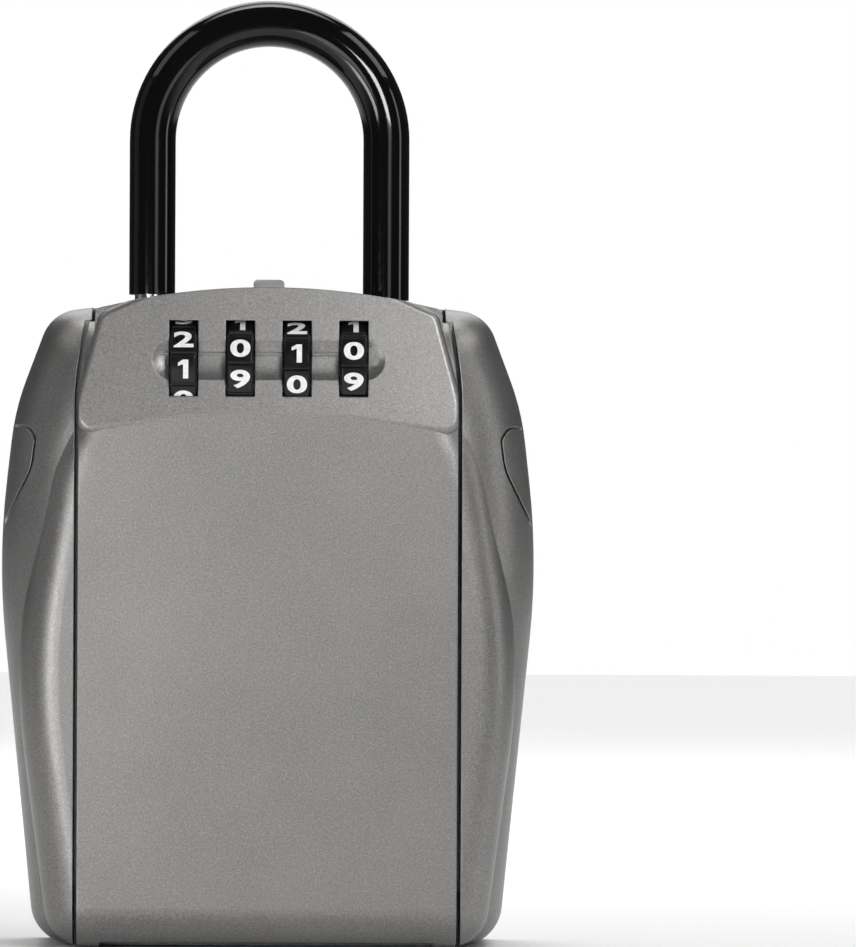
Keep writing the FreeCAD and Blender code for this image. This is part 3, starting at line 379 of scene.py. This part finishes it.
# ---------------------------------------------------------------- floor, light and camera
FLOOR_CORNERS = ((-2.5, -3.0), (2.5, -3.0), (2.5, 2.2), (-2.5, 2.2))
FLOOR_HEIGHT = -0.2 * MM


def stage_floor():
    """A flat pale floor under the box."""
    form = bmesh.new()
    form.faces.new([form.verts.new((x, y, FLOOR_HEIGHT)) for x, y in FLOOR_CORNERS])
    mesh = bpy.data.meshes.new("floor")
    form.to_mesh(mesh)
    form.free()
    floor = bpy.data.objects.new("floor", mesh)
    bpy.context.scene.collection.objects.link(floor)
    mesh.materials.append(floor_paint("paint_floor"))


def area_light(name, azimuth, elevation, distance, size, power, target, spread):
    """A soft box aimed at a point. Azimuth is measured from straight ahead of the door, to the right."""
    light = bpy.data.lights.new(name, "AREA")
    light.shape = "RECTANGLE"
    light.size, light.size_y = size
    light.energy = power
    light.spread = math.radians(spread)
    lamp = bpy.data.objects.new(name, light)
    lamp.visible_camera = False
    a, e = math.radians(azimuth), math.radians(elevation)
    toward = Vector((math.sin(a) * math.cos(e), -math.cos(a) * math.cos(e), math.sin(e)))
    lamp.location = Vector(target) + toward * distance
    lamp.rotation_euler = toward.to_track_quat("Z", "Y").to_euler()
    bpy.context.scene.collection.objects.link(lamp)


def world_light(seen, cast):
    """A white room: bright where it is looked at, dim in what it casts on the box."""
    world = bpy.data.worlds.new("studio")
    world.use_nodes = True
    tree = world.node_tree
    background = tree.nodes["Background"]
    background.inputs["Color"].default_value = (1.0, 1.0, 1.0, 1.0)
    path = tree.nodes.new("ShaderNodeLightPath")
    level = tree.nodes.new("ShaderNodeMapRange")
    level.inputs["To Min"].default_value = cast
    level.inputs["To Max"].default_value = seen
    tree.links.new(path.outputs["Is Camera Ray"], level.inputs["Value"])
    tree.links.new(level.outputs["Result"], background.inputs["Strength"])
    bpy.context.scene.world = world


CAMERA_DISTANCE = 1.6
VIEW_WIDTH = 169.27 * MM                # across the picture, in the plane of the door
EYE_HEIGHT = 94.2 * MM
SIDE_SHIFT = 31.6 * MM                  # how far the picture's middle lies right of the box's
ROLL = -0.25                            # degrees
SENSOR_WIDTH = 36.0                     # millimetres, as Blender counts it
VIEW_DEPTH = 20.0


def camera():
    """A long lens straight in front of the door."""
    lens = bpy.data.cameras.new("camera")
    lens.sensor_fit = "HORIZONTAL"
    lens.sensor_width = SENSOR_WIDTH
    lens.lens = SENSOR_WIDTH * CAMERA_DISTANCE / VIEW_WIDTH
    lens.shift_x = SIDE_SHIFT / VIEW_WIDTH
    lens.clip_end = VIEW_DEPTH
    eye = bpy.data.objects.new("camera", lens)
    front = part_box("door_front")[0][1]
    eye.location = (0.0, front - CAMERA_DISTANCE, EYE_HEIGHT)
    eye.rotation_euler = (math.radians(90.0), math.radians(ROLL), 0.0)
    bpy.context.scene.collection.objects.link(eye)
    bpy.context.scene.camera = eye


BOX_MIDDLE = (0.0, 0.0, 0.09)
DOOR_TOP = (0.0, -0.02, 0.095)
DOOR_MIDDLE = (0.0, -0.02, 0.06)
PANEL = (0.0, -0.015, 0.118)
FLOOR_BEHIND = (0.05, 1.40, 0.0)
LIGHTS = (                              # name, azimuth, elevation, distance, size, watts, target, spread
    ("box_left", -32, -6, 0.40, (0.10, 0.16), 0.50, DOOR_TOP, 180),
    ("box_front", -12, -6, 0.40, (0.10, 0.16), 0.13, DOOR_TOP, 180),
    ("box_panel", 24, 21, 0.32, (0.08, 0.08), 0.44, PANEL, 180),
    ("box_right", 20, 8, 0.45, (0.12, 0.20), 0.11, DOOR_MIDDLE, 180),
    ("strip_right", 75, 5, 0.80, (0.12, 0.70), 0.80, BOX_MIDDLE, 180),
    ("side_left", -90, 12, 0.60, (0.30, 0.50), 0.09, BOX_MIDDLE, 180),
    ("high_right", 82, 48, 0.60, (0.25, 0.25), 0.55, DOOR_TOP, 180),
    ("high_left", -82, 48, 0.60, (0.25, 0.25), 0.25, DOOR_TOP, 180),
    ("box_back", 180, 40, 1.00, (0.80, 0.60), 3.0, BOX_MIDDLE, 180),
    ("floor_wash", 180, 89, 1.20, (1.80, 2.70), 14.0, FLOOR_BEHIND, 60),
)
ROOM_SEEN, ROOM_CAST = 1.0, 0.05

stage_floor()
world_light(ROOM_SEEN, ROOM_CAST)
for light in LIGHTS:
    area_light(*light)
camera()

bpy.context.scene.view_settings.view_transform = "Standard"
bpy.context.scene.view_settings.look = "None"
